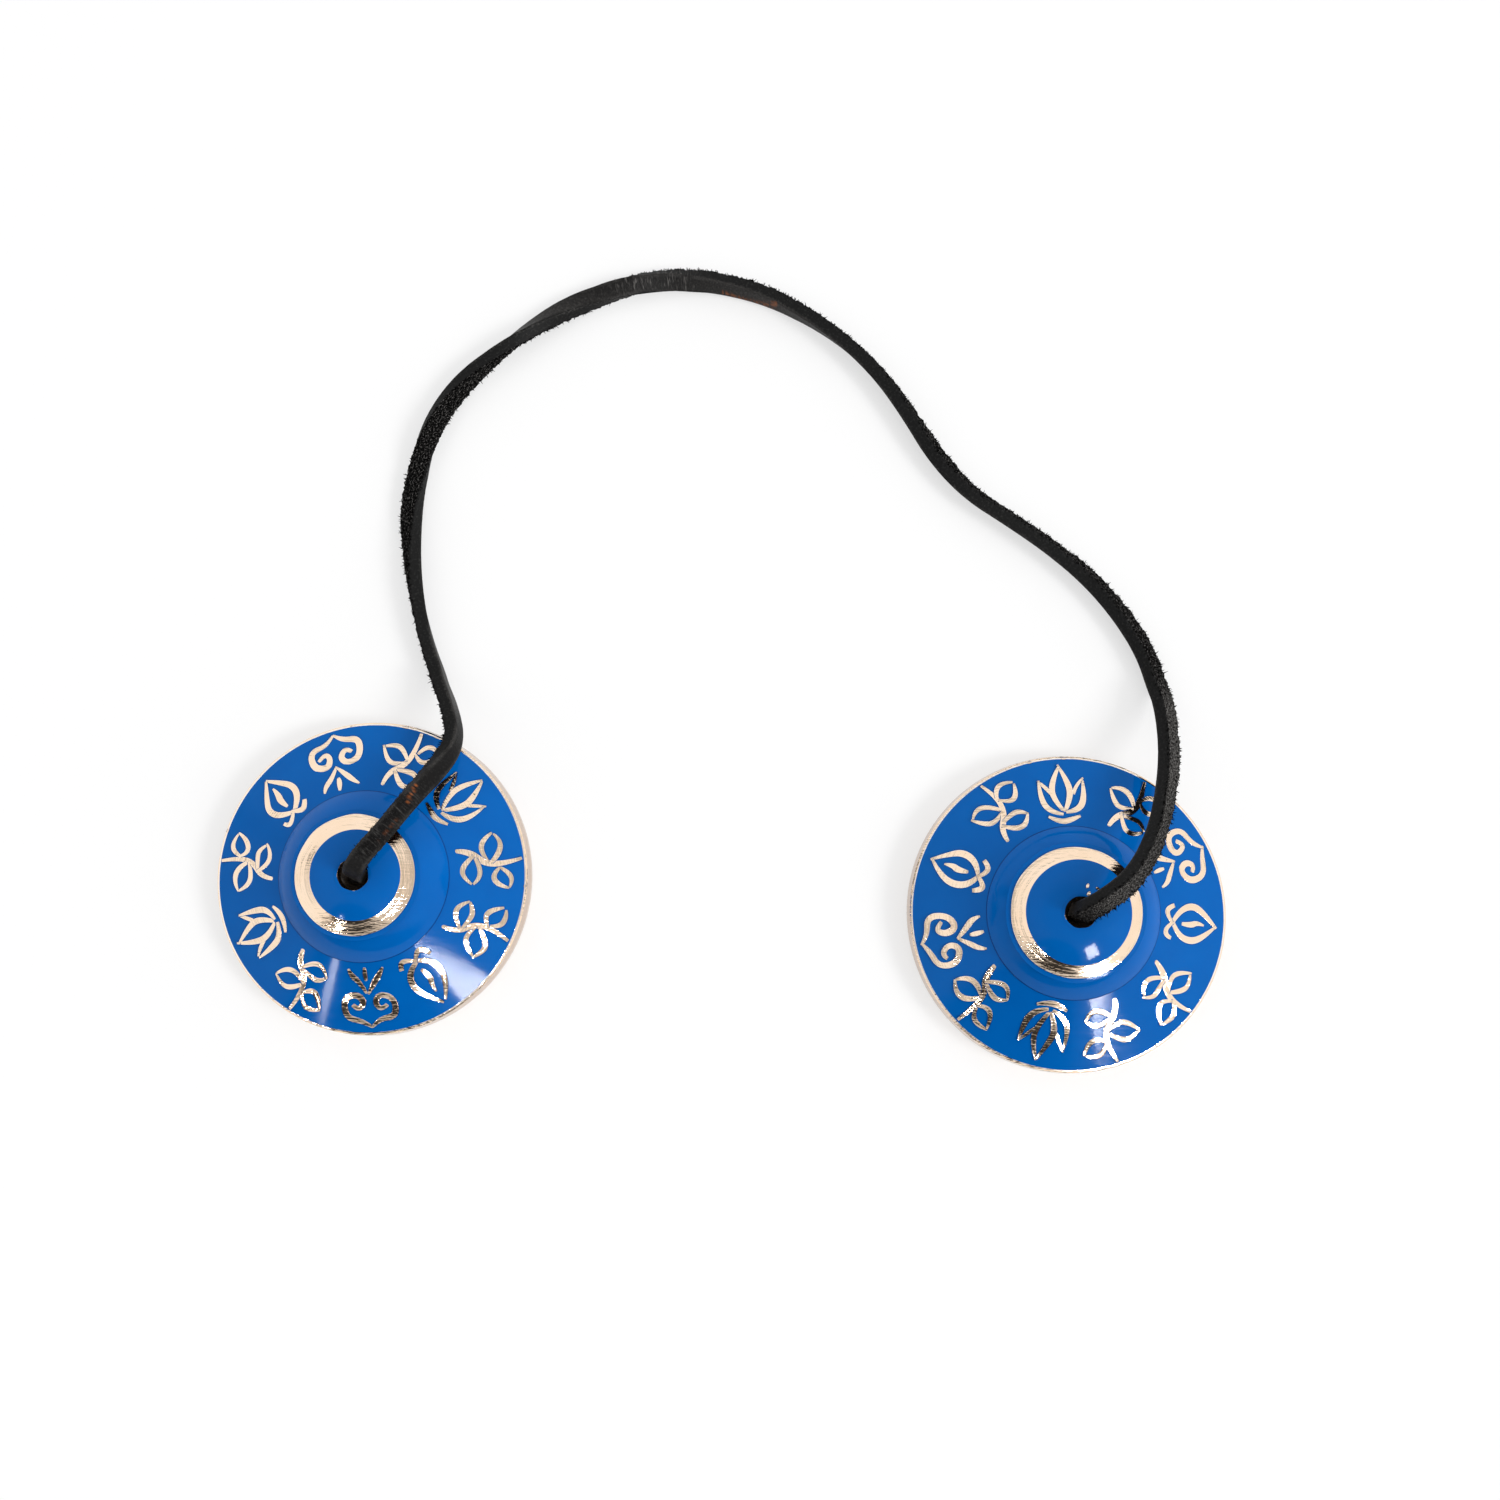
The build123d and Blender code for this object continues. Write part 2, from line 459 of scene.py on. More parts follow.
@dataclass(frozen=True)
class DyedHide:
    """One face of a black-dyed cowhide strap: the grain, a knife-cut edge or the napped flesh side."""

    # Drum-dyed hide takes the eye as matt black: the grain is smooth with a low sheen, the knife
    # cut is even, and the flesh side is a dull nap whose fibres catch the light. Fibres and pores
    # of about 0.1 mm are drawn 0.45 mm apart to show.
    face: HideFace
    dark: str
    light: str
    # Lighter grey for worn crease ridges, and for painted highlights and painted light where the strap's
    # layer of painted light asks for it.
    crease_wear_and_painted_light_grey: str
    roughness: float
    specular: float
    relief_mm: float
    speck_from: float = 0.53
    grey_from: float = 0.44
    grey_to: float = 0.6
    cell_mm: float = 0.45
    crease_mm: float = 0.6
    raw: str = "#A05A2C"
    speck_width: float = 0.12
    flake_edge: float = 0.3
    crease_stretch: float = 4.0
    fold_weight: float = 3.0
    ridge_from: float = 0.55
    ridge_to: float = 0.7

    def material(self) -> bpy.types.Material:
        """Builds the hide: matt black with its own pores or nap, a lighter grey on worn crease ridges and as
        painted highlight and painted light, raw tan where the dye is worn through.
        """
        made, tree = blank_material(f"dyed_cowhide_{self.face.name.lower()}")
        place = add_node(tree, "TexCoord").outputs["UV"]
        # Crackle, crease and scuff are the strap's wear; the remaining layer is painted highlight and painted
        # light.
        wear = {name: add_node(tree, "Attribute", attribute_name=name).outputs["Fac"] for name in WEAR_AND_LIGHT}
        scaled = add_node(
            tree, "Mapping", {"Vector": place, "Scale": (per_mm(self.cell_mm), per_mm(self.cell_mm), 1.0)}
        ).outputs[0]
        pores = add_node(
            tree, "TexNoise", {"Vector": scaled, "Scale": 1.0, "Detail": 6.0, "Roughness": 0.7}
        ).outputs["Fac"]
        cells = add_node(tree, "TexVoronoi", {"Vector": scaled, "Scale": 1.0}, feature="DISTANCE_TO_EDGE")
        flakes = add_node(
            tree, "MapRange", {"Value": cells.outputs["Distance"], "From Max": self.flake_edge}
        ).outputs[0]
        wide, long = per_mm(self.crease_mm), per_mm(self.crease_mm * self.crease_stretch)
        creased = add_node(tree, "Mapping", {"Vector": place, "Scale": (wide, long, 1.0)})
        folds = add_node(
            tree, "TexNoise", {"Vector": creased.outputs[0], "Scale": 1.0, "Detail": 2.0, "Distortion": 1.2}
        ).outputs["Fac"]
        cracked = add_node(tree, "Math", {0: flakes, 1: wear["crackle"]}, operation="MULTIPLY").outputs[0]
        folded = add_node(tree, "Math", {0: folds, 1: wear["crease"]}, operation="MULTIPLY").outputs[0]
        height = add_node(
            tree, "Math", {0: folded, 1: self.fold_weight, 2: pores}, operation="MULTIPLY_ADD"
        ).outputs[0]
        height = add_node(tree, "Math", {0: height, 1: cracked}, operation="ADD").outputs[0]
        bump = add_node(tree, "Bump", {"Height": height, "Strength": 1.0, "Distance": self.relief_mm * MM})
        specks = add_node(
            tree,
            "MapRange",
            {"Value": pores, "From Min": self.speck_from, "From Max": self.speck_from + self.speck_width},
        ).outputs[0]
        dyed = add_node(
            tree, "Mix", {"Factor": specks, 6: linear(self.dark), 7: linear(self.light)}, data_type="RGBA"
        ).outputs[2]
        # Pore pattern that breaks up the painted highlights and painted light.
        greyed = add_node(
            tree, "MapRange", {"Value": pores, "From Min": self.grey_from, "From Max": self.grey_to}
        ).outputs[0]
        ridges = add_node(
            tree, "MapRange", {"Value": folds, "From Min": self.ridge_from, "From Max": self.ridge_to}
        ).outputs[0]
        amounts = [
            add_node(tree, "Math", {0: pattern, 1: wear[name]}, operation="MULTIPLY").outputs[0]
            for pattern, name in ((greyed, "painted_light"), (ridges, "crease"))
        ]
        # Lighter on worn crease ridges, and where highlight and light are painted.
        rubbed = add_node(tree, "Math", {0: amounts[0], 1: amounts[1]}, operation="MAXIMUM").outputs[0]
        crease_wear_and_painted_light_grey = add_node(
            tree, "Mix", {"Factor": rubbed, 6: dyed, 7: linear(self.crease_wear_and_painted_light_grey)}, data_type="RGBA"
        ).outputs[2]
        bare = add_node(
            tree, "Mix", {"Factor": wear["scuff"], 6: crease_wear_and_painted_light_grey, 7: linear(self.raw)}, data_type="RGBA"
        ).outputs[2]
        shader = add_node(
            tree,
            "BsdfPrincipled",
            {
                "Base Color": bare,
                "Roughness": self.roughness,
                "Specular IOR Level": self.specular,
                "Normal": bump.outputs["Normal"],
            },
        )
        add_node(tree, "OutputMaterial", {"Surface": shader.outputs[0]})
        return made


def both(*line: tuple[float, float, float]) -> tuple:
    """A stroke of the ornament and the same stroke mirrored along the band."""
    return line, tuple((-along, radius, half) for along, radius, half in line)


class Figure(Enum):
    """Figures of the flange's ornament.

    Each stroke is a row of points: millimetres along the band, radius and half width.
    """

    VINE = (
        ((-3.2, 18.6, 0.25), (-2.6, 21.4, 0.5), (0.6, 23.8, 0.5), (1.4, 27.4, 0.45), (0.4, 31.3, 0.2)),
        ((-1.4, 22.4, 0.2), (0.6, 20.0, 0.45), (3.8, 19.8, 0.4), (5.2, 21.8, 0.12)),
        ((-1.4, 22.4, 0.2), (1.4, 23.0, 0.4), (3.8, 23.2, 0.4), (5.2, 21.8, 0.12)),
        ((0.8, 24.8, 0.2), (-1.6, 23.6, 0.4), (-4.2, 24.6, 0.4), (-5.0, 27.0, 0.12)),
        ((0.8, 24.8, 0.2), (-0.6, 27.0, 0.45), (-3.0, 28.2, 0.4), (-5.0, 27.0, 0.12)),
        ((1.4, 26.8, 0.15), (2.8, 25.2, 0.45), (5.0, 26.4, 0.4), (5.4, 28.8, 0.12)),
        ((1.4, 26.8, 0.15), (2.2, 28.8, 0.4), (4.0, 29.4, 0.4), (5.4, 28.8, 0.12)),
    )
    BUD = (
        ((0.2, 20.0, 0.25), (-2.8, 21.4, 0.5), (-3.8, 24.6, 0.6), (-1.8, 27.6, 0.4), (0.0, 29.8, 0.15)),
        ((-0.2, 20.0, 0.25), (2.6, 21.4, 0.5), (3.6, 24.6, 0.55), (1.8, 27.4, 0.4), (0.0, 29.8, 0.15)),
        ((0.0, 22.0, 0.2), (0.4, 24.0, 0.6), (-0.2, 25.4, 0.45), (0.0, 27.2, 0.1)),
        ((0.2, 20.2, 0.2), (-1.8, 18.8, 0.4), (-3.6, 19.0, 0.45), (-4.2, 20.4, 0.3)),
        ((-0.2, 20.2, 0.2), (1.8, 18.8, 0.4), (3.4, 19.0, 0.45), (4.0, 20.2, 0.3)),
    )
    LOTUS = (
        ((0.0, 20.2, 0.2), (-2.2, 23.4, 0.5), (-1.4, 27.0, 0.5), (0.0, 30.2, 0.12)),
        ((0.0, 20.2, 0.2), (2.2, 23.4, 0.5), (1.4, 27.0, 0.45), (0.0, 30.2, 0.12)),
        *both((-0.4, 20.0, 0.2), (-3.6, 20.8, 0.5), (-4.8, 24.0, 0.5), (-4.2, 27.6, 0.1)),
        *both((-4.2, 27.6, 0.1), (-2.8, 25.8, 0.4), (-2.2, 24.2, 0.2)),
        ((-4.0, 19.6, 0.15), (-1.6, 18.5, 0.5), (1.6, 18.5, 0.5), (4.0, 19.6, 0.15)),
    )
    CLOUD = (
        *both(
            (0.0, 30.6, 0.15),
            (-1.4, 29.0, 0.45),
            (-4.4, 28.8, 0.5),
            (-5.0, 25.2, 0.55),
            (-2.4, 23.6, 0.55),
            (-1.0, 25.4, 0.5),
            (-2.2, 27.2, 0.4),
            (-3.4, 26.2, 0.3),
        ),
        *both((0.0, 23.4, 0.15), (-1.8, 21.4, 0.5), (-3.8, 20.0, 0.45), (-4.6, 18.8, 0.1)),
        ((0.0, 21.0, 0.15), (0.0, 19.8, 0.6), (0.0, 18.4, 0.15)),
    )


@dataclass(frozen=True)
class Stroke:
    """One hand-cut line, in points of angle in degrees, radius and half width in millimetres."""

    points: tuple[tuple[float, float, float], ...]
    closed: bool = False


@dataclass(frozen=True)
class RingCut:
    """The bare ring scraped out of the boss's lacquer, a little off centre, in millimetres."""

    inner: float
    inner_shift: float
    outer: float
    outer_shift: float
    uneven: float = 0.07
    steps: int = 26

    def strokes(self, hand: random.Random, margin: float) -> list[Stroke]:
        """Draws the ring as one closed stroke.

        Args:
            hand: Source of the scraper's unevenness.
            margin: Millimetres added on both sides.

        Returns:
            The stroke, in a list.
        """
        points = []
        for step in range(self.steps):
            angle = 360 * step / self.steps
            lean = math.cos(math.radians(angle))
            low = self.inner + self.inner_shift * lean + hand.gauss(0, self.uneven) - margin
            high = self.outer + self.outer_shift * lean + hand.gauss(0, self.uneven) + margin
            points.append((angle, (low + high) / 2, (high - low) / 2))
        return [Stroke(tuple(points), closed=True)]


@dataclass
class Cymbal:
    """One cymbal of the pair: its casting, lacquer, scraped ring and cut ornament.

    Lifts, the sink and the weld are in metres, widths and radii in millimetres, turns in degrees.
    """

    side: Side
    metal: bpy.types.Material
    # Paler bronze that paints highlights, and darker blue lacquer that paints shade, along the cuts and
    # edges.
    painted_highlight_bronze: bpy.types.Material
    lacquer: bpy.types.Material
    lacquer_shade: bpy.types.Material
    seed: int
    turn: float
    figures: tuple[Figure, ...]
    ring: RingCut
    chips: tuple[Stroke, ...]
    patch_lift: float = 0.05 * MM
    # The outline layer, a darker blue, is painted shade round the cuts; the border layer, a paler bronze, is
    # painted highlight along them.
    shade_line_lift: float = 0.08 * MM
    border_lift: float = 0.11 * MM
    stroke_lift: float = 0.14 * MM
    layer_step: float = 0.003 * MM
    border_width: float = 0.08
    shade_line_width: float = 0.18
    sink: float = 0.06 * MM
    smoothing: int = 8
    hand_wobble: float = 0.16
    mid_radius: float = 25.0
    rim_radius: float = 32.0
    rim_half_width: float = 0.13
    hole_radius: float = 3.0
    step_radius: float = 17.42
    step_half_width: float = 0.15
    nick_radius: float = 31.7
    nick_count: int = 5
    nick_reach: tuple[float, float] = (0.3, 1.2)
    nick_half: tuple[float, float] = (0.08, 0.2)
    nick_end: float = 0.05
    figure_sway: float = 2.0
    steady_from: float = 31.0
    thinnest: float = 0.85
    thickest: float = 1.2
    ground_margin: float = 1.0
    stroke_steps: int = 8
    evening: float = 0.5
    weld: float = 0.002 * MM
    sharp_angle: float = 35.0
    band_steps: int = 24
    lining_steps: int = 20
    lining_width: float = 0.75
    lining_gap: float = 0.2
    lining_uneven: float = 0.08
    lining_least: float = 0.08

    def __post_init__(self) -> None:
        """Finds the cymbal's axis and a search tree of its upper surface."""
        low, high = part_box(f"{self.side.value}_cymbal")
        self.axis = Vector(((low.x + high.x) / 2, (low.y + high.y) / 2, 0.0))
        self.top = high.z
        joined = bmesh.new()
        for part in ("cymbal", "boss_lacquer", "flange_lacquer"):
            joined.from_mesh(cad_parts[f"{self.side.value}_{part}"].data)
        self.surface = BVHTree.FromBMesh(joined)
        joined.free()

    def dress(self) -> None:
        """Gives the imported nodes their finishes."""
        dress_node(f"{self.side.value}_cymbal", self.metal)
        for field in ("boss_lacquer", "flange_lacquer"):
            dress_node(f"{self.side.value}_{field}", self.lacquer)

    def ornament(self) -> list[list[Stroke]]:
        """Sets the figures round the flange, each line a little off as a hand cuts it.

        Returns:
            Strokes in layers, so that those of one figure lie on different layers.
        """
        hand = random.Random(self.seed)
        layers: list[list[Stroke]] = [[] for _ in range(max(len(f.value) for f in Figure))]
        for place, figure in enumerate(self.figures):
            sway = hand.uniform(-self.figure_sway, self.figure_sway)
            middle = self.turn + 360 * place / len(self.figures) + sway
            flip = hand.choice((-1, 1))
            for layer, line in zip(layers, figure.value):
                points = []
                for along, radius, half in line:
                    angle = math.degrees((along + hand.gauss(0, self.hand_wobble)) / self.mid_radius)
                    drift = hand.gauss(0, self.hand_wobble) * (radius < self.steady_from)
                    width = half * hand.uniform(self.thinnest, self.thickest)
                    points.append((middle + flip * angle, radius + drift, width))
                layer.append(Stroke(tuple(points)))
        return layers

    def ribbons(self, strokes: list[Stroke], widen: float) -> bmesh.types.BMesh:
        """Draws strokes as flat ribbons round the origin, from a curve with a flat bevel.

        Args:
            strokes: Lines to draw.
            widen: Millimetres added to each half width.

        Returns:
            Flat ribbons.
        """
        shares = (-1, -0.5, 0, 0.5, 1)
        blade = bpy.data.curves.new("blade", "CURVE")
        edge = blade.splines.new("POLY")
        edge.points.add(len(shares) - 1)
        for point, across in zip(edge.points, shares):
            point.co = (across * MM, 0, 0, 1)
        curve = bpy.data.curves.new("strokes", "CURVE")
        curve.dimensions = "2D"
        curve.fill_mode = "NONE"
        for stroke in strokes:
            places = []
            for angle, radius, _ in stroke.points:
                turn = math.radians(angle)
                places.append((radius * MM * math.cos(turn), radius * MM * math.sin(turn), 0))
            line = add_line(curve, places, self.stroke_steps, stroke.closed)
            for point, (_, _, half) in zip(line.points, stroke.points):
                point.radius = half + widen
        return swept(curve, blade)

    def lay(self, bm: bmesh.types.BMesh, lift: float) -> None:
        """Lays flat ribbons on the cymbal and thickens them down into it.

        Args:
            bm: Ribbons round the origin.
            lift: Height of their faces above the cymbal's surface.
        """
        down = Vector((0, 0, -1))
        bmesh.ops.remove_doubles(bm, verts=bm.verts[:], dist=self.weld)
        for vert in bm.verts:
            above = Vector((vert.co.x + self.axis.x, vert.co.y + self.axis.y, 2 * self.top))
            hit = self.surface.ray_cast(above, down)[0]
            vert.co = hit + Vector((0, 0, lift))
        for _ in range(self.smoothing):
            bmesh.ops.smooth_vert(bm, verts=bm.verts[:], factor=self.evening, use_axis_z=True)
        bm.normal_update()
        bmesh.ops.reverse_faces(bm, faces=[f for f in bm.faces if f.normal.z < 0])
        bmesh.ops.solidify(bm, geom=bm.faces[:], thickness=lift + self.sink)
        for face in bm.faces:
            face.smooth = True

    def cut(
        self,
        name: str,
        layers: list[list[Stroke]],
        widen: float,
        lift: float,
        material: bpy.types.Material,
    ) -> None:
        """Makes one piece from strokes, which rides on this cymbal.

        Args:
            name: Name of the piece, without the side.
            layers: Strokes, in layers that lie one just above another.
            widen: Millimetres added to each half width.
            lift: Height of the lowest layer above the cymbal.
            material: Its finish.
        """
        joined = bmesh.new()
        for step, strokes in enumerate(layers):
            bm = self.ribbons(strokes, widen)
            self.lay(bm, lift + step * self.layer_step)
            scrap = bpy.data.meshes.new("layer")
            bm.to_mesh(scrap)
            bm.free()
            joined.from_mesh(scrap)
            bpy.data.meshes.remove(scrap)
        piece = new_piece(f"{self.side.value}_{name}", joined, [material])
        piece.data.set_sharp_from_angle(angle=math.radians(self.sharp_angle))
        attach(piece, f"{self.side.value}_cymbal")
        LOG.info("%s: %d faces", piece.name, len(piece.data.polygons))

    def cut_lacquer(self) -> None:
        """Cuts ornament and ring through the lacquer: bare bronze, a paler border that is painted highlight,
        and a darker blue outline that is painted shade.
        """
        hand = self.seed + 1
        ring = self.ring.strokes(random.Random(hand), 0.0)
        layers = [*self.ornament(), [*ring, *self.chips, *self.nicks()]]
        under = self.ring.strokes(random.Random(hand), self.ground_margin)
        self.cut("ring_ground", [under], 0.0, self.patch_lift, self.lacquer)
        # Darker blue outline round each cut: painted shade.
        self.cut("scroll_shade_line", layers, self.shade_line_width, self.shade_line_lift, self.lacquer_shade)
        # Paler bronze border along each cut: painted highlight.
        self.cut("scroll_border", layers, self.border_width, self.border_lift, self.painted_highlight_bronze)
        self.cut("scroll", layers, 0.0, self.stroke_lift, self.metal)

    def nicks(self) -> list[Stroke]:
        """Chips the lacquer here and there along the rim.

        Returns:
            Short strokes at the flange's outer edge.
        """
        hand = random.Random(self.seed + 5)
        made = []
        for _ in range(self.nick_count):
            at, long = hand.uniform(0, 360), hand.uniform(*self.nick_reach)
            spans = ((-long, self.nick_end), (0.0, hand.uniform(*self.nick_half)), (long, self.nick_end))
            made.append(Stroke(tuple((at + turn, self.nick_radius, half) for turn, half in spans)))
        return made

    def band(self, radius: float, half_width: float) -> Stroke:
        """Even line right round the cymbal."""
        turns = (360 / self.band_steps * step for step in range(self.band_steps))
        return Stroke(tuple((turn, radius, half_width) for turn in turns), closed=True)

    def trim_edges(self) -> None:
        """Paints a highlight on the rim's bevel, paints shade as a darker blue line at the step, and runs the
        lacquer unevenly up to the hole.
        """
        hand = random.Random(self.seed + 2)
        rim = self.band(self.rim_radius, self.rim_half_width)
        # Paler bronze on the rim's bevel: painted highlight.
        self.cut("rim_bevel", [[rim]], 0.0, self.patch_lift, self.painted_highlight_bronze)
        # Darker blue line at the foot of the boss's step: painted shade.
        step_line = self.band(self.step_radius, self.step_half_width)
        self.cut("step_shade_line", [[step_line]], 0.0, self.patch_lift, self.lacquer_shade)
        points = []
        high = self.hole_radius + self.lining_width
        for step in range(self.lining_steps):
            gap = max(self.lining_least, hand.gauss(self.lining_gap, self.lining_uneven))
            low = self.hole_radius + gap
            points.append((360 / self.lining_steps * step, (low + high) / 2, (high - low) / 2))
        lining = Stroke(tuple(points), closed=True)
        self.cut("hole_lining", [[lining]], 0.0, self.patch_lift, self.lacquer)

    def build(self) -> None:
        """Dresses the cymbal and adds its cut work."""
        self.dress()
        self.cut_lacquer()
        self.trim_edges()


@dataclass(frozen=True)
class Patch:
    """A marked stretch of the strap, worn in some places and painted with light in others: a line on plan,
    how far the mark reaches from it and how deep it is.
    """

    start: tuple[float, float]
    end: tuple[float, float]
    reach: float
    depth: float = 1.0

    def share(self, place: Vector) -> float:
        """How strongly a place is marked.

        Args:
            place: Point in metres.

        Returns:
            The depth on the line, falling to nought at the reach.
        """
        a, b, p = Vector(self.start) * MM, Vector(self.end) * MM, place.to_2d()
        along = b - a
        part = min(1.0, max(0.0, (p - a).dot(along) / along.length_squared))
        return self.depth * smooth(1 - (p - a - along * part).length / (self.reach * MM))


@dataclass
class Thong:
    """The flat leather strap from one cymbal to the other, twisted as it lies.

    Route points are x, y, z in millimetres and the roll in degrees: nought has the grain up,
    and minus ninety has it to the right of the way from the left cymbal to the right one.
    """

    hides: list[bpy.types.Material]
    width: float = 4.0 * MM
    thickness: float = 2.75 * MM
    corner: float = 0.3 * MM
    corner_steps: int = 2
    grain_steps: int = 6
    cut_steps: int = 5
    flesh_steps: int = 14
    grip: float = 0.2 * MM
    left_axis: float = -71.5
    right_axis: float = 71.5
    left_rise: tuple[tuple[float, float, float, float], ...] = (
        (0.2, 0.3, 17.667, -12),
        (0.3, 0.4, 22.2, -12),
        (2.3, 3.3, 25.5, -12),
        (6.4, 8.9, 23.9, -13),
        (10.2, 16.0, 19.4, -20),
        (14.1, 22.1, 15.2, -34),
        (16.7, 28.4, 11.8, -79),
        (14.4, 35.2, 7.8, -85),
        (10.4, 42.4, 4.0, -90),
    )
    lay: tuple[tuple[float, float, float, float], ...] = (
        (-64.6, 50.4, 2, -94),
        (-67.5, 60.6, 2, -105),
        (-69.2, 70.8, 2, -128),
        (-69.8, 80.6, 2, -162),
        (-68.6, 90.5, 2, -192),
        (-65.3, 99.8, 2, -222),
        (-58.6, 109.2, 2, -258),
        (-49.4, 117.2, 2, -295),
        (-38.6, 124.8, 2, -341),
        (-28.4, 129.5, 2, -376),
        (-17.8, 131.5, 2, -404),
        (-12.6, 131.4, 2, -415),
        (-7.4, 131.3, 2, -429),
        (2.9, 129.2, 2, -438),
        (12.3, 125.0, 2, -454),
        (21.2, 119.2, 2, -466),
        (28.9, 112.1, 2, -470),
        (35.2, 103.8, 2, -472),
        (41.2, 95.0, 2, -486),
        (48.4, 87.4, 2, -474),
        (57.2, 82.2, 2, -474),
        (65.9, 76.7, 2, -476),
        (74.0, 70.6, 2, -486),
        (80.9, 63.3, 2, -491),
        (86.8, 54.6, 2, -496),
    )
    right_rise: tuple[tuple[float, float, float, float], ...] = (
        (18.5, 44.9, 4.6, -499),
        (19.1, 34.7, 8.6, -501),
        (17.6, 25.0, 13.2, -498),
        (14.3, 15.1, 19.7, -495),
        (9.3, 7.1, 25.1, -499),
        (3.8, 2.5, 26.1, -502),
        (0.1, 0.0, 22.4, -502),
        (0.1, 0.0, 17.667, -502),
    )
    spline_steps: int = 48
    upright: float = 0.35
    weld: float = 0.0005 * MM
    lying_height: float = 3.0 * MM
    lifted_height: float = 5.0 * MM
    blend_from: float = -45.0 * MM
    blend_to: float = 40.0 * MM
    nap_mm: float = 0.5
    plain_mm: float = 0.03
    coarse_mm: float = 1.1
    coarse_share: float = 0.5
    fine_mm: float = 0.45
    fine_share: float = 0.6
    flesh_from: float = 0.4
    flesh_fade: float = 0.45
    # Lighter grey painted along the grain's two rounded corners: a painted highlight where the arrises catch
    # the light.
    arris_highlight: float = 0.5
    arris_mm: float = 4.0
    arris_contrast: float = 1.5
    arris_cover: float = 0.7
    scuff_mm: float = 0.45
    scuff_contrast: float = 2.2
    scuff_cover: float = 0.5
    fibre_count: int = 2200
    fibre_radius: float = 0.13 * MM
    fibre_tip: float = 0.03 * MM
    fibre_sides: int = 3
    fibre_edge: tuple[float, float] = (0.75, 1.0)
    fibre_depth: tuple[float, float] = (0.8, 1.0)
    fibre_out: tuple[float, float] = (0.2, 1.0)
    fibre_down: tuple[float, float] = (0.2, 1.2)
    fibre_stray: float = 0.4
    fibre_least: float = 0.4
    fibre_most: float = 1.0
    fibre_rate: float = 6.0
    fibre_seat: float = 0.4
    bare_ends: int = 30
    seed: int = 11
    crackled: Patch = Patch((-67.5, 6.0), (-62.4, 14.0), 5.0, 2.5)
    creased: tuple[Patch, ...] = (
        Patch((-27.0, 129.5), (-14.5, 131.0), 6.0),
        Patch((-67.0, 6.0), (-62.0, 15.0), 5.0, 0.55),
    )
    scuffed: tuple[Patch, ...] = (
        Patch((-60.4, 18.4), (-61.5, 14.8), 0.4, 0.9),
        Patch((-62.5, 11.5), (-65.5, 6.5), 0.45, 0.25),
        Patch((-6.0, 129.3), (5.7, 126.6), 0.35, 0.5),
    )
    # Grey sheen painted on the grain at the crown and at the left bend: a painted highlight.
    painted_sheen: tuple[Patch, ...] = (
        Patch((-48.0, 118.0), (8.0, 127.5), 12.0, 0.5),
        Patch((-58.5, 51.0), (-54.6, 38.5), 6.5, 1.0),
    )
    # Nap on the right rise painted lighter grey where its faces turn to the lamp on the right: painted light.
    greyed: tuple[Patch, ...] = (
        Patch((89.5, 42.0), (90.0, 30.0), 9.0),
        Patch((90.0, 30.0), (76.0, 4.0), 9.0),
    )

    @property
    def route(self) -> list[tuple[float, float, float, float]]:
        """Control points from the left hole to the right one."""
        left = [(x + self.left_axis, y, z, roll) for x, y, z, roll in self.left_rise]
        right = [(x + self.right_axis, y, z, roll) for x, y, z, roll in self.right_rise]
        return [*left, *self.lay, *right]

    def spline(self, name: str, controls: list[Vector]) -> list[Vector]:
        """Reads the smooth line of a NURBS spline.

        Args:
            name: Name of the throw-away curve.
            controls: Control points.

        Returns:
            Points along the spline.
        """
        curve = bpy.data.curves.new(name, "CURVE")
        curve.dimensions = "3D"
        add_line(curve, controls, self.spline_steps)
        bm = swept(curve)
        points = [v.co.copy() for v in bm.verts]
        bm.free()
        return points

    def spoke(self, angle: float) -> Vector:
        """Offset from a corner's centre to its rounded edge, at an angle in degrees."""
        return self.corner * Vector((math.cos(math.radians(angle)), math.sin(math.radians(angle))))

    def section(self) -> list[tuple[float, float, HideFace]]:
        """Outline of the strap's cut end, once round from one of its rounded corners.

        Returns:
            Offsets across the width and along the grain's normal, with the face each step lies on.
        """
        across, deep = self.width / 2 - self.corner, self.thickness / 2 - self.corner
        centres = [Vector(c) for c in ((across, deep), (-across, deep), (-across, -deep), (across, -deep))]
        faces = (
            (HideFace.GRAIN, self.grain_steps),
            (HideFace.CUT, self.cut_steps),
            (HideFace.FLESH, self.flesh_steps),
            (HideFace.CUT, self.cut_steps),
        )
        outline = []
        for quarter, (face, steps) in enumerate(faces):
            for step in range(self.corner_steps):
                rounded = centres[quarter] + self.spoke(90 * (quarter + step / self.corner_steps))
                outline.append((*rounded, face))
            turned = self.spoke(90 * (quarter + 1))
            start, end = centres[quarter] + turned, centres[(quarter + 1) % 4] + turned
            outline += [(*start.lerp(end, step / steps), face) for step in range(steps)]
        return outline

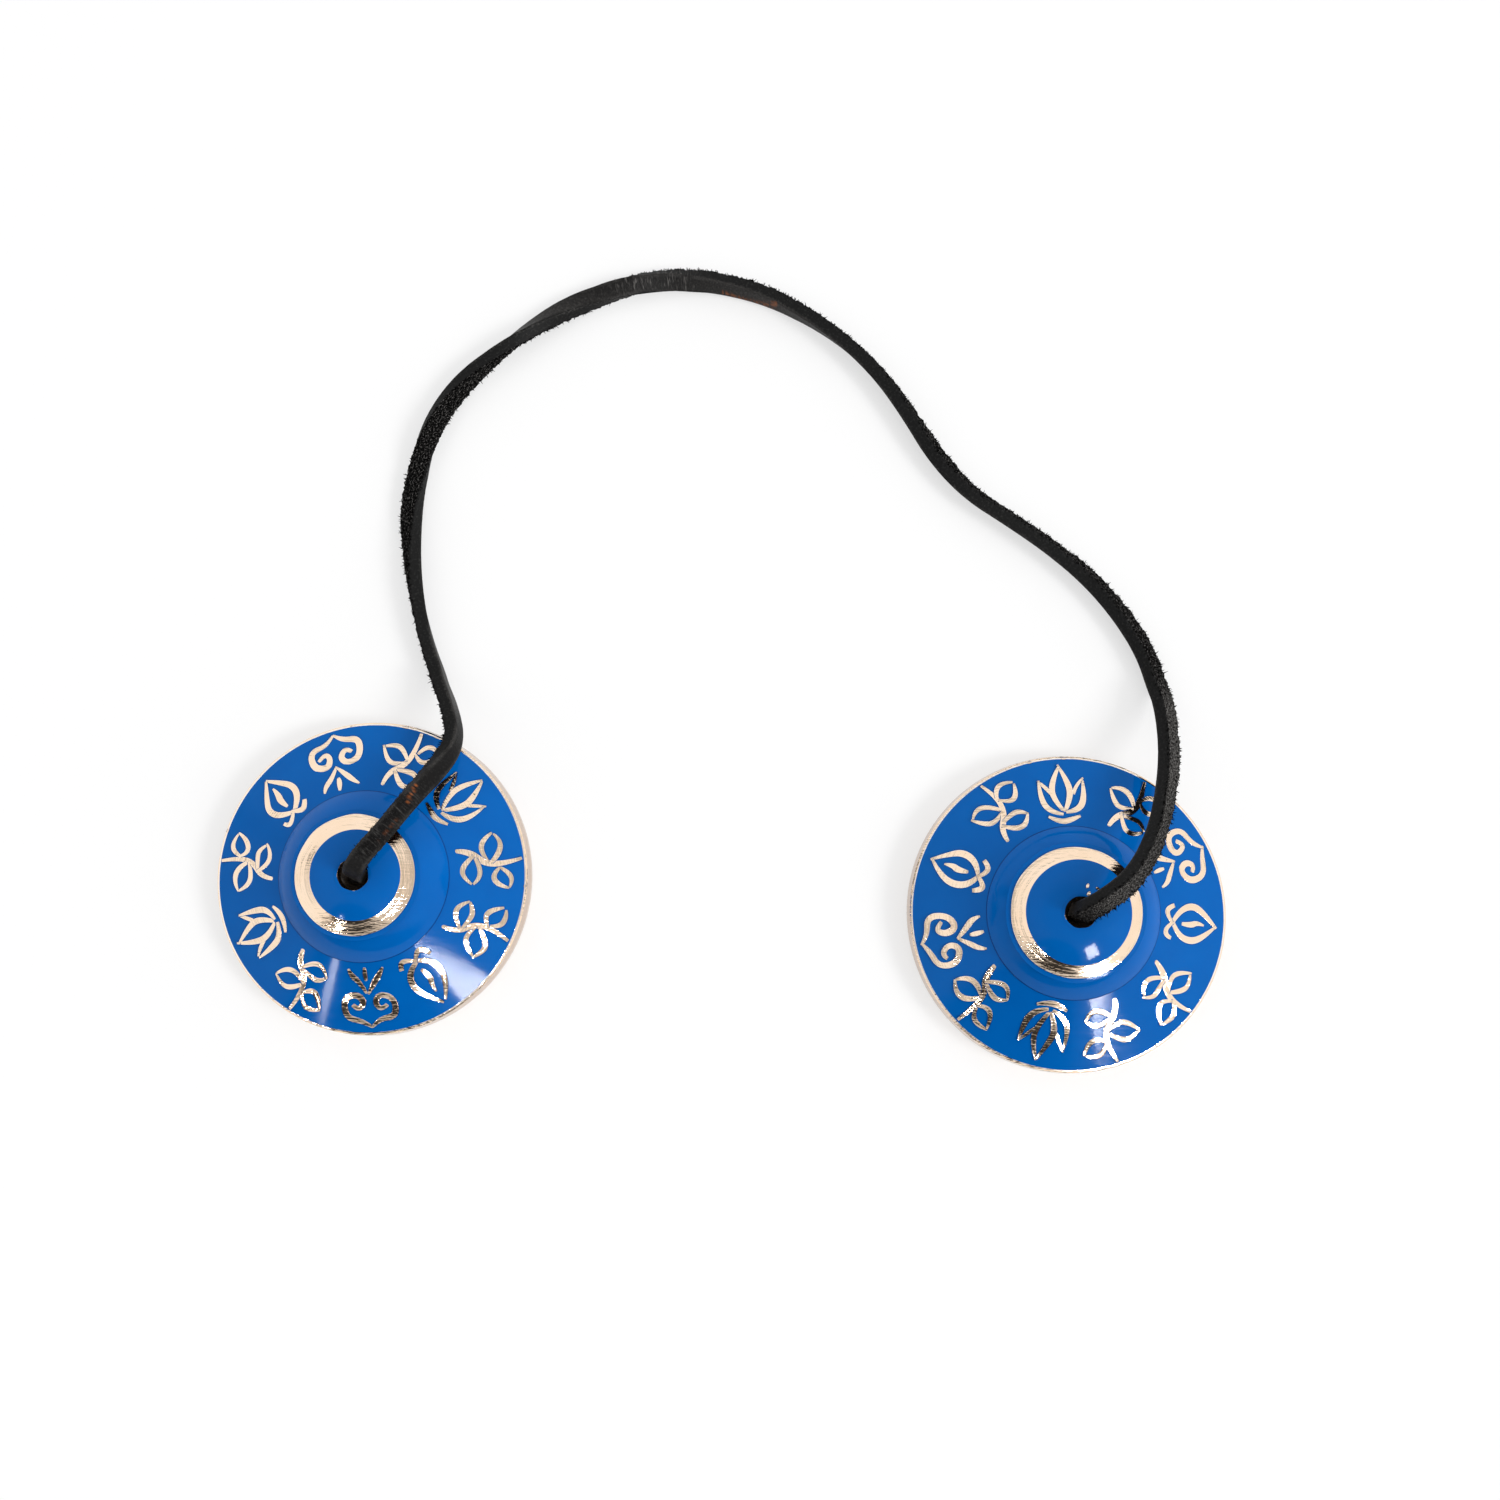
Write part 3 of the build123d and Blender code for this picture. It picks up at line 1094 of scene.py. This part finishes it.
    @cached_property
    def frames(self) -> list[tuple[Vector, Vector, Vector, float]]:
        """Where the strap runs and how it is turned.

        Returns:
            For each step: centre, direction across the width, grain normal and distance so far.
        """
        centres = self.spline("thong_line", [Vector(p[:3]) * MM for p in self.route])
        rolls = [p.x for p in self.spline("thong_roll", [Vector((p[3], 0, 0)) for p in self.route])]
        up = Vector((0, 0, 1))
        tangents = []
        for i in range(len(centres)):
            ahead, behind = centres[min(i + 1, len(centres) - 1)], centres[max(i - 1, 0)]
            tangents.append((ahead - behind).normalized())
        level = [up.cross(t) for t in tangents]
        sides = [s if s.length > self.upright else None for s in level]
        first = next(s for s in sides if s)
        last = next(s for s in reversed(sides) if s)
        half = len(sides) // 2
        sides = [s or (first if i < half else last) for i, s in enumerate(sides)]
        made, distance = [], 0.0
        for i, (centre, tangent, side, roll) in enumerate(zip(centres, tangents, sides, rolls)):
            left = (side - tangent * side.dot(tangent)).normalized()
            raised = tangent.cross(left)
            turn = math.radians(roll)
            grain = raised * math.cos(turn) + left * math.sin(turn)
            across = grain.cross(tangent)
            drop = abs(across.z) * self.width / 2 + abs(grain.z) * self.thickness / 2
            lying = smooth((self.lifted_height - centre.z) / (self.lifted_height - self.lying_height))
            seated = centre + up * lying * (drop + self.grip - centre.z)
            distance += (centre - centres[i - 1]).length if i else 0.0
            made.append((seated, across, grain, distance))
        return made

    def roughen(self, place: Vector, height: float) -> float:
        """How far the hide stands proud at a place.

        Args:
            place: Point in metres.
            height: Its height above the middle of the strap, towards the grain.

        Returns:
            Offset in metres, large on the napped side and its corners.
        """
        flesh = smooth((-2 * height / self.thickness - self.flesh_from) / self.flesh_fade)
        depth = self.plain_mm + (self.nap_mm - self.plain_mm) * flesh
        coarse = noise.noise(place * per_mm(self.coarse_mm))
        fine = noise.noise(place * per_mm(self.fine_mm))
        return depth * MM * (self.coarse_share * coarse + self.fine_share * fine)

    def build(self) -> bpy.types.Object:
        """Rolls a grid round the route into the strap.

        Returns:
            The strap, which stands for both halves of the thong.
        """
        outline = self.section()
        rings, around = len(self.frames) - 1, len(outline)
        length = self.frames[-1][3]
        girth = 2 * (self.width + self.thickness)
        bm = bmesh.new()
        uv = bm.loops.layers.uv.new("UVMap")
        wear = {name: bm.verts.layers.float.new(name) for name in WEAR_AND_LIGHT}
        bmesh.ops.create_grid(bm, x_segments=rings, y_segments=around, size=0.5, calc_uvs=True)
        for face in bm.faces:
            step = math.floor((face.calc_center_median().y + 0.5) * around)
            face.material_index = outline[step % around][2].value
            face.smooth = True
            for loop in face.loops:
                loop[uv].uv = (loop[uv].uv.x * length, loop[uv].uv.y * girth)
        for vert in bm.verts:
            centre, across, grain, _ = self.frames[round((vert.co.x + 0.5) * rings)]
            x, y, face = outline[round((vert.co.y + 0.5) * around) % around]
            corner = abs(x) > self.width / 2 - self.corner and abs(y) > self.thickness / 2 - self.corner
            out = (across * x + grain * y).normalized()
            place = centre + across * x + grain * y
            worn = max(p.share(place) for p in self.scuffed)
            speckle = noise.noise(place * per_mm(self.scuff_mm))
            vert[wear["scuff"]] = worn * smooth(self.scuff_contrast * speckle + self.scuff_cover)
            vert[wear["crackle"]] = self.crackled.share(place)
            vert[wear["crease"]] = max(p.share(place) for p in self.creased)
            # The layer of painted light: painted highlight on the grain's arrises, painted light on the right
            # rise's nap, which faces the lamp, and painted sheen on the grain.
            patchy = self.arris_contrast * noise.noise(place * per_mm(self.arris_mm)) + self.arris_cover
            arris = self.arris_highlight * smooth(patchy) * (y > 0 and corner)
            lit_flesh = max(p.share(place) for p in self.greyed) * (face is HideFace.FLESH)
            painted_sheen = max(p.share(place) for p in self.painted_sheen) * (face is HideFace.GRAIN)
            vert[wear["painted_light"]] = max(arris, lit_flesh, painted_sheen)
            vert.co = place + out * self.roughen(place, y)
        bmesh.ops.remove_doubles(bm, verts=bm.verts[:], dist=self.weld)
        bmesh.ops.holes_fill(bm, edges=[e for e in bm.edges if e.is_boundary], sides=0)
        bmesh.ops.recalc_face_normals(bm, faces=bm.faces[:])
        strap = new_piece("thong", bm, self.hides)
        for side in Side:
            dress_node(f"{side.value}_thong", self.hides[HideFace.GRAIN.value])
        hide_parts("left_thong", "right_thong")
        LOG.info("thong: %.1f mm long, %d faces", length / MM, len(strap.data.polygons))
        return strap

    def nap(self) -> bpy.types.Object:
        """Raises loose fibres on the flesh side and along its two corners, clear of the table.

        Returns:
            The fibres as one piece.
        """
        hand = random.Random(self.seed)
        bm = bmesh.new()
        for _ in range(self.fibre_count):
            centre, across, grain, _ = hand.choice(self.frames[self.bare_ends:-self.bare_ends])
            edge = hand.choice((-1, 1)) * hand.uniform(*self.fibre_edge)
            depth = hand.uniform(*self.fibre_depth)
            root = centre + across * edge * self.width / 2 - grain * self.thickness / 2 * depth
            lean = across * edge * hand.uniform(*self.fibre_out) - grain * hand.uniform(*self.fibre_down)
            lean += Vector([hand.gauss(0, self.fibre_stray) for _ in range(3)])
            tall = min(self.fibre_most, self.fibre_least + hand.expovariate(self.fibre_rate)) * MM
            way = lean.normalized()
            if (root + way * tall).z < self.grip:
                continue
            turned = way.to_track_quat("Z", "Y").to_matrix().to_4x4()
            seat = Matrix.Translation(root + way * tall * self.fibre_seat) @ turned
            bmesh.ops.create_cone(
                bm,
                cap_ends=True,
                segments=self.fibre_sides,
                radius1=self.fibre_radius,
                radius2=self.fibre_tip,
                depth=tall,
                matrix=seat,
            )
        fibres = new_piece("thong_nap", bm, [self.hides[HideFace.FLESH.value]])
        LOG.info("thong_nap: %d faces", len(fibres.data.polygons))
        return fibres

    def declare(self, strap: bpy.types.Object, pieces: list[bpy.types.Object]) -> None:
        """Args:
            strap: The strap.
            pieces: What goes with it.
        """
        crown = max(f[0].y for f in self.frames)
        for piece in (strap, *(p for p in pieces if p.name == "thong_nap")):
            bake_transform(piece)
        centres = [f[0] for f in self.frames]
        self.frames[-1][3]


@dataclass
class Knot:
    """The overhand knot that stops the strap under one cymbal, with its cut tail.

    Its turns, tail and middle height are in millimetres, from the cymbal's axis and the table.
    """

    side: Side
    hide: bpy.types.Material
    tail_heading: float
    middle_height: float = 13.7
    half_width: float = 1.55 * MM
    half_thickness: float = 1.2 * MM
    steps: int = 12
    weld: float = 0.001 * MM
    turns: tuple[tuple[float, float, float], ...] = (
        (0.0, 0.0, 4.4),
        (0.1, 0.0, 2.6),
        (2.2, -1.4, 0.8),
        (3.0, 1.6, -0.8),
        (-0.4, 3.3, -1.7),
        (-3.2, 0.9, -1.3),
        (-2.4, -2.3, 0.4),
        (0.7, -3.2, 1.5),
        (3.2, -0.8, 1.7),
        (2.1, 2.5, 1.4),
        (-1.2, 2.6, 1.2),
        (-2.8, 0.4, 1.0),
        (-1.4, -1.5, -0.6),
        (0.4, -0.7, -2.2),
    )
    tail: tuple[tuple[float, float], ...] = ((2.6, -2.4), (6.0, -1.7), (9.6, -1.6))

    def build(self) -> bpy.types.Object:
        """Sweeps the strap's end along the knot.

        Returns:
            The knot, riding on its body.
        """
        low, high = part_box(f"{self.side.value}_cymbal")
        axis = Vector(((low.x + high.x) / 2, (low.y + high.y) / 2, self.middle_height * MM))
        heading = math.radians(self.tail_heading)
        end = [(reach * math.cos(heading), reach * math.sin(heading), drop) for reach, drop in self.tail]
        section = bpy.data.curves.new("knot_section", "CURVE")
        corners = ((1, 0), (1, 1), (0, 1), (-1, 1), (-1, 0), (-1, -1), (0, -1), (1, -1))
        rim = [(x * self.half_width, y * self.half_thickness, 0) for x, y in corners]
        add_line(section, rim, self.steps, closed=True)
        curve = bpy.data.curves.new("knot_line", "CURVE")
        curve.dimensions = "3D"
        curve.use_fill_caps = True
        add_line(curve, [axis + Vector(place) * MM for place in (*self.turns, *end)], self.steps)
        bm = swept(curve, section)
        bmesh.ops.remove_doubles(bm, verts=bm.verts[:], dist=self.weld)
        bmesh.ops.recalc_face_normals(bm, faces=bm.faces[:])
        uv = bm.loops.layers.uv.new("UVMap")
        for face in bm.faces:
            face.smooth = True
            for loop in face.loops:
                place = loop.vert.co
                loop[uv].uv = (place.x + place.z, place.y + place.z)
        knot = new_piece(f"{self.side.value}_overhand_knot", bm, [self.hide])
        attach(knot, f"{self.side.value}_knot")
        dress_node(f"{self.side.value}_knot", self.hide)
        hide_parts(f"{self.side.value}_knot")
        LOG.info("%s: %d faces", knot.name, len(knot.data.polygons))
        return knot


@dataclass(frozen=True)
class Lamp:
    """A soft lamp far off: bearing and height in degrees, size in metres, brightness of its face.

    A mirrored lamp is seen only in gloss; any other lights only the matt side of things.
    """

    name: str
    bearing: float
    height: float
    width: float
    tall: float
    radiance: float
    mirrored: bool

    def hang(self, aim: Vector, distance: float) -> None:
        """Hangs the lamp, facing the object.

        Args:
            aim: Point that it faces.
            distance: How far off it hangs.
        """
        b, h = math.radians(self.bearing), math.radians(self.height)
        way = Vector((math.cos(b) * math.cos(h), math.sin(b) * math.cos(h), math.sin(h)))
        data = bpy.data.lights.new(self.name, "AREA")
        data.shape = "RECTANGLE"
        data.size, data.size_y = self.width, self.tall
        data.energy = self.radiance * math.pi * self.width * self.tall
        lamp = bpy.data.objects.new(self.name, data)
        lamp.location = aim + way * distance
        lamp.rotation_mode = "QUATERNION"
        lamp.rotation_quaternion = way.to_track_quat("Z", "Y")
        lamp.visible_diffuse = not self.mirrored
        lamp.visible_glossy = self.mirrored
        link(lamp)


@dataclass(frozen=True)
class DarkPlace:
    """A dark oval of the surround: its middle and half sizes in degrees, softness and depth as shares.

    Its edge fades over the softness inside the oval, and over that divided by the fringe outside.
    """

    bearing: float
    height: float
    half_width: float
    half_height: float
    soft: float
    depth: float
    fringe: float = 3.0

    def dim(self, tree: bpy.types.NodeTree, way: bpy.types.NodeSocket) -> bpy.types.NodeSocket:
        """Works out how much light the oval leaves in a direction.

        Args:
            tree: The world's node tree.
            way: Direction being looked along.

        Returns:
            One outside the oval, falling by its depth inside.
        """
        turned = add_node(
            tree,
            "VectorRotate",
            {"Vector": way, "Axis": (0.0, 0.0, 1.0), "Angle": -math.radians(self.bearing)},
            rotation_type="AXIS_ANGLE",
        )
        tipped = add_node(
            tree,
            "VectorRotate",
            {"Vector": turned.outputs[0], "Axis": (0.0, 1.0, 0.0), "Angle": math.radians(self.height)},
            rotation_type="AXIS_ANGLE",
        ).outputs[0]
        spread = [1 / math.sin(math.radians(half)) for half in (self.half_width, self.half_height)]
        scaled = add_node(tree, "VectorMath", {0: tipped, 1: (0.0, *spread)}, operation="MULTIPLY")
        reach = add_node(tree, "VectorMath", {0: scaled.outputs[0]}, operation="LENGTH")
        edge = add_node(
            tree,
            "MapRange",
            {
                "Value": reach.outputs["Value"],
                "From Min": 1 - self.soft,
                "From Max": 1 + self.soft / self.fringe,
                "To Min": self.depth,
                "To Max": 0.0,
            },
            interpolation_type="SMOOTHSTEP",
        ).outputs[0]
        parts = add_node(tree, "SeparateXYZ", {0: tipped}).outputs
        ahead = add_node(tree, "Math", {0: parts["X"], 1: 0.0}, operation="GREATER_THAN").outputs[0]
        inside = add_node(tree, "Math", {0: edge, 1: ahead}, operation="MULTIPLY").outputs[0]
        return add_node(tree, "Math", {0: 1.0, 1: inside}, operation="SUBTRACT").outputs[0]


@dataclass
class Studio:
    """White table, pale surround with a dark front, soft lamps and the camera."""

    camera_place: tuple[float, float, float] = (13.65, -6.88, 344.61)
    camera_turn: tuple[float, float, float] = (6.3, 1.138, 2.832)
    lens: float = 39.611
    sensor: float = 36.0
    clip: tuple[float, float] = (0.01, 20.0)
    aim: tuple[float, float, float] = (4.9, 30.8, 10.0)
    table_size: float = 4.0
    table_colour: str = "#FCFCFC"
    white: str = "#FFFFFF"
    table_glow: float = 0.58
    walls: float = 1.03
    ceiling: float = 0.6
    ceiling_from: float = 50.0
    ceiling_full: float = 66.0
    dark_places: tuple[DarkPlace, ...] = (
        DarkPlace(-105.0, 34.0, 28.0, 26.0, 0.2, 0.97),
        DarkPlace(-88.0, 6.0, 52.0, 16.0, 0.3, 0.95),
        DarkPlace(163.0, 10.0, 8.0, 17.0, 0.7, 0.75),
        DarkPlace(187.0, 8.0, 34.0, 18.0, 0.5, 0.24),
    )
    lamp_distance: float = 5.0
    lamps: tuple[Lamp, ...] = (
        Lamp("softbox", -16.0, 37.0, 1.5, 1.5, 16.5, mirrored=False),
        Lamp("softbox_gloss", -57.5, 41.4, 1.0, 1.2, 90.0, mirrored=True),
        Lamp("strip_gloss", -122.5, 35.4, 0.26, 0.58, 45.0, mirrored=True),
    )

    def camera(self) -> None:
        """Sets the camera where the photograph was taken from."""
        data = bpy.data.cameras.new("camera")
        data.lens = self.lens
        data.sensor_width = self.sensor
        data.clip_start, data.clip_end = self.clip
        camera = bpy.data.objects.new("camera", data)
        camera.location = Vector(self.camera_place) * MM
        camera.rotation_mode = "YXZ"
        camera.rotation_euler = [math.radians(a) for a in self.camera_turn]
        link(camera)
        bpy.context.scene.camera = camera

    def table(self) -> None:
        """Lays the white table, which keeps a faint shadow and is clear from below."""
        made, tree = blank_material("white_table")
        path = add_node(tree, "LightPath").outputs
        seen = path["Is Camera Ray"]
        for ray in ("Is Glossy Ray", "Is Transmission Ray"):
            seen = add_node(tree, "Math", {0: seen, 1: path[ray]}, operation="MAXIMUM").outputs[0]
        share = add_node(tree, "Math", {0: seen, 1: self.table_glow}, operation="MULTIPLY")
        paint = add_node(tree, "BsdfDiffuse", {"Color": linear(self.table_colour)})
        glow = add_node(tree, "Emission", {"Color": linear(self.white), "Strength": 1.0})
        mixed = add_node(tree, "MixShader", {0: share.outputs[0], 1: paint.outputs[0], 2: glow.outputs[0]})
        below = add_node(tree, "NewGeometry").outputs["Backfacing"]
        clear = add_node(tree, "BsdfTransparent")
        sided = add_node(tree, "MixShader", {0: below, 1: mixed.outputs[0], 2: clear.outputs[0]})
        add_node(tree, "OutputMaterial", {"Surface": sided.outputs[0]})
        bm = bmesh.new()
        bmesh.ops.create_grid(bm, x_segments=1, y_segments=1, size=self.table_size / 2)
        table = new_piece("table", bm, [made])

    def surround_light(self) -> None:
        """Fills the world with pale walls and a dimmer ceiling, with dark places in them."""
        world = bpy.data.worlds.new("studio")
        bpy.context.scene.world = world
        world.use_nodes = True
        tree = world.node_tree
        tree.nodes.clear()
        way = add_node(tree, "TexCoord").outputs["Generated"]
        rise = add_node(tree, "SeparateXYZ", {0: way}).outputs["Z"]
        level = add_node(
            tree,
            "MapRange",
            {
                "Value": rise,
                "From Min": math.sin(math.radians(self.ceiling_from)),
                "From Max": math.sin(math.radians(self.ceiling_full)),
                "To Min": self.walls,
                "To Max": self.ceiling,
            },
            interpolation_type="SMOOTHSTEP",
        ).outputs[0]
        for dark in self.dark_places:
            remaining = dark.dim(tree, way)
            level = add_node(tree, "Math", {0: level, 1: remaining}, operation="MULTIPLY").outputs[0]
        seen = add_node(tree, "LightPath").outputs["Is Camera Ray"]
        level = add_node(tree, "Math", {0: level, 1: seen}, operation="MAXIMUM").outputs[0]
        lamp = add_node(tree, "Background", {"Color": linear(self.white), "Strength": level})
        add_node(tree, "OutputWorld", {"Surface": lamp.outputs[0]})

    def light(self) -> None:
        """Lights the pair from the right, with gloss from the lower right and the lower left."""
        self.surround_light()
        for lamp in self.lamps:
            lamp.hang(Vector(self.aim) * MM, self.lamp_distance)

    def build(self) -> None:
        """Sets up camera, table and light."""
        self.camera()
        self.table()
        self.light()
        bpy.context.scene.view_settings.view_transform = "Standard"


def main() -> None:
    """Builds the pair piece by piece."""
    logging.basicConfig(level=logging.INFO, format="%(name)s: %(message)s")
    Studio().build()
    metal = BellMetal().material()
    # A paler copy of the bronze: painted highlight on the cut edges and the rim's bevel.
    painted_highlight_bronze = BellMetal(
        name="highlight_bell_bronze", pale="#FFF8F0", warm="#FFF0E0", roughness=0.1
    ).material()
    lacquer = BlueLacquer().material()
    # A darker copy of the lacquer: painted shade round the cuts and at the step.
    lacquer_shade = BlueLacquer(name="painted_shade_blue_lacquer", deep="#003A78", light="#00458C").material()
    hides = [
        DyedHide(
            HideFace.GRAIN, dark="#121111", light="#282726", crease_wear_and_painted_light_grey="#565452",
            roughness=0.5, specular=0.09, relief_mm=0.1, grey_from=0.25, grey_to=0.7,
        ).material(),
        DyedHide(
            HideFace.CUT, dark="#161616", light="#2C2C2B", crease_wear_and_painted_light_grey="#4E4C4A",
            roughness=0.6, specular=0.08, relief_mm=0.06,
        ).material(),
        DyedHide(
            HideFace.FLESH, dark="#050505", light="#6E6C6A", crease_wear_and_painted_light_grey="#6A6866",
            roughness=0.95, specular=0.02, relief_mm=0.3,
        ).material(),
    ]
    thong = Thong(hides)
    strap = thong.build()
    fibres = thong.nap()
    knots = [
        Knot(Side.LEFT, hides[HideFace.GRAIN.value], tail_heading=215.0).build(),
        Knot(Side.RIGHT, hides[HideFace.GRAIN.value], tail_heading=20.0).build(),
    ]
    thong.declare(strap, [fibres, *knots])
    vine, bud, lotus, cloud = Figure
    chips = (
        Stroke(((77.0, 4.9, 0.1), (79.0, 5.3, 0.28), (76.0, 5.7, 0.1))),
        Stroke(((60.0, 5.6, 0.1), (56.0, 5.8, 0.22), (53.0, 5.7, 0.08))),
        Stroke(((70.0, 3.5, 0.15), (71.0, 4.0, 0.3), (67.0, 4.3, 0.12))),
    )
    cymbals = [
        Cymbal(
            Side.LEFT, metal, painted_highlight_bronze, lacquer, lacquer_shade, seed=3, turn=12.0,
            figures=(vine, lotus, vine, cloud, bud, vine, lotus, vine, cloud, bud, vine),
            ring=RingCut(inner=9.33, inner_shift=-0.65, outer=12.08, outer_shift=-0.42), chips=(),
        ),
        Cymbal(
            Side.RIGHT, metal, painted_highlight_bronze, lacquer, lacquer_shade, seed=8, turn=30.0,
            figures=(cloud, vine, lotus, vine, bud, cloud, vine, lotus, vine, vine, bud),
            ring=RingCut(inner=10.5, inner_shift=-0.33, outer=12.9, outer_shift=-0.3), chips=chips,
        ),
    ]
    for cymbal in cymbals:
        cymbal.build()


if __name__ == "__main__":
    main()
